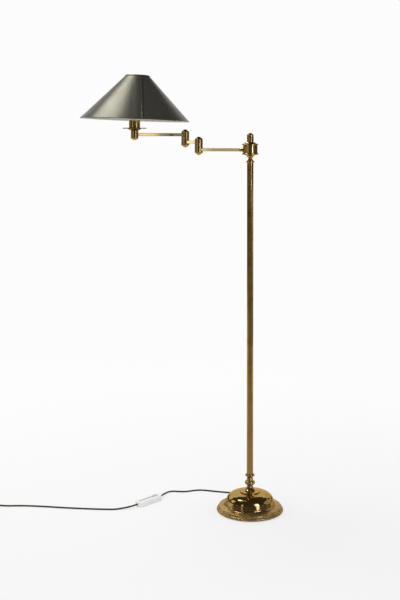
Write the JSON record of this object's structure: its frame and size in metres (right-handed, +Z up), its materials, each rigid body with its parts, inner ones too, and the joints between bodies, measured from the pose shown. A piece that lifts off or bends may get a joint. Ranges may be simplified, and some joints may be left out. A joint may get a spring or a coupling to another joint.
{
  "type": "swing arm floor lamp",
  "caption": "Brass floor lamp on a round weighted base, with a folding two-elbow square arm, a candle cup lampholder, a dark cone shade and an inline dimmer",
  "frame": {"origin": "the pole's axis where the felt under the base meets the floor", "axes": "+Z up along the pole, -Y towards the viewer of the picture, the arm folded out towards -X"},
  "size_m": [0.988, 0.343, 1.3621],
  "materials": {
    "polished_brass": "polished, aged",
    "zinc_steel": "zinc plated",
    "cast_iron": "as cast",
    "felt": "matte felt",
    "nylon": "plain",
    "shade_card": "satin lacquered card",
    "carrier_wire": "white enamel",
    "bakelite": "gloss",
    "bulb_cap": "bright",
    "bulb_glass": "opal",
    "lead": "plain",
    "cord_brown": "satin",
    "plug_pins": "nickel plated",
    "dimmer_white": "satin",
    "tie": "plain"
  },
  "bodies": {
    "stand": {"felt_pad": "felt", "base_plate": "zinc_steel", "base_weight": "cast_iron", "base_shell": "polished_brass", "base_nut": "zinc_steel", "base_tube": "zinc_steel", "cord_gland": "cord_brown", "neck_flange": "polished_brass", "neck_baluster": "polished_brass", "pole_tube": "polished_brass", "pole_plugs": "polished_brass", "pole_top_collar": "polished_brass", "hub_lower_flange": "polished_brass", "hub_spindle": "zinc_steel", "hub_nut": "zinc_steel", "pole_lead": "lead", "cord_near": "cord_brown", "cord_far": "cord_brown", "cord_coil": "cord_brown", "coil_tie": "tie", "dimmer_tray": "dimmer_white", "dimmer_cover": "dimmer_white", "plug_body": "cord_brown", "plug_pins": "plug_pins"},
    "inner_swing": {"hub_sleeve": "polished_brass", "inner_arm_root": "polished_brass", "hub_cap": "polished_brass", "hub_finial": "polished_brass", "inner_arm": "polished_brass", "elbow_1_lower_barrel": "polished_brass", "elbow_1_lower_cap": "polished_brass", "elbow_1_pin": "zinc_steel", "elbow_1_nut": "zinc_steel", "elbow_1_washer": "nylon", "inner_arm_lead": "lead"},
    "link_swing": {"elbow_1_upper_barrel": "polished_brass", "link_caps": "polished_brass", "link_bar": "polished_brass", "elbow_2_lower_barrel": "polished_brass", "elbow_2_pin": "zinc_steel", "elbow_2_nut": "zinc_steel", "elbow_2_washer": "nylon", "link_lead": "lead"},
    "outer_swing": {"elbow_2_upper_barrel": "polished_brass", "outer_arm_caps": "polished_brass", "outer_arm": "polished_brass", "end_column": "polished_brass", "holder_tube": "zinc_steel", "drip_dish": "polished_brass", "candle_cup": "polished_brass", "lampholder": "bakelite", "lampholder_contacts": "polished_brass", "bulb_cap": "bulb_cap", "bulb_glass": "bulb_glass", "shade_cone": "shade_card", "shade_wires": "carrier_wire", "shade_carrier": "carrier_wire", "shade_rings": "bakelite", "outer_arm_lead": "lead"},
    "slider": {"dimmer_slider": "dimmer_white"}
  },
  "joints": [
    {"name": "hub_swivel", "type": "hinge", "parent": "stand", "child": "inner_swing", "pos_m": [0, 0, 1.1185], "axis": [0, 0, 1], "range_deg": [-170, 170]},
    {"name": "elbow_1_pivot", "type": "hinge", "parent": "inner_swing", "child": "link_swing", "pos_m": [-0.16, 0.102, 1.139], "axis": [0, 0, 1], "range_deg": [-110, 115]},
    {"name": "elbow_2_pivot", "type": "hinge", "parent": "link_swing", "child": "outer_swing", "pos_m": [-0.204, 0.15, 1.163], "axis": [0, 0, 1], "range_deg": [-246, 84]},
    {"name": "dimmer_slide", "type": "slide", "parent": "stand", "child": "slider", "axis": [-0.6845, -0.729, 0], "range_m": [0, 0.04]}
  ]
}
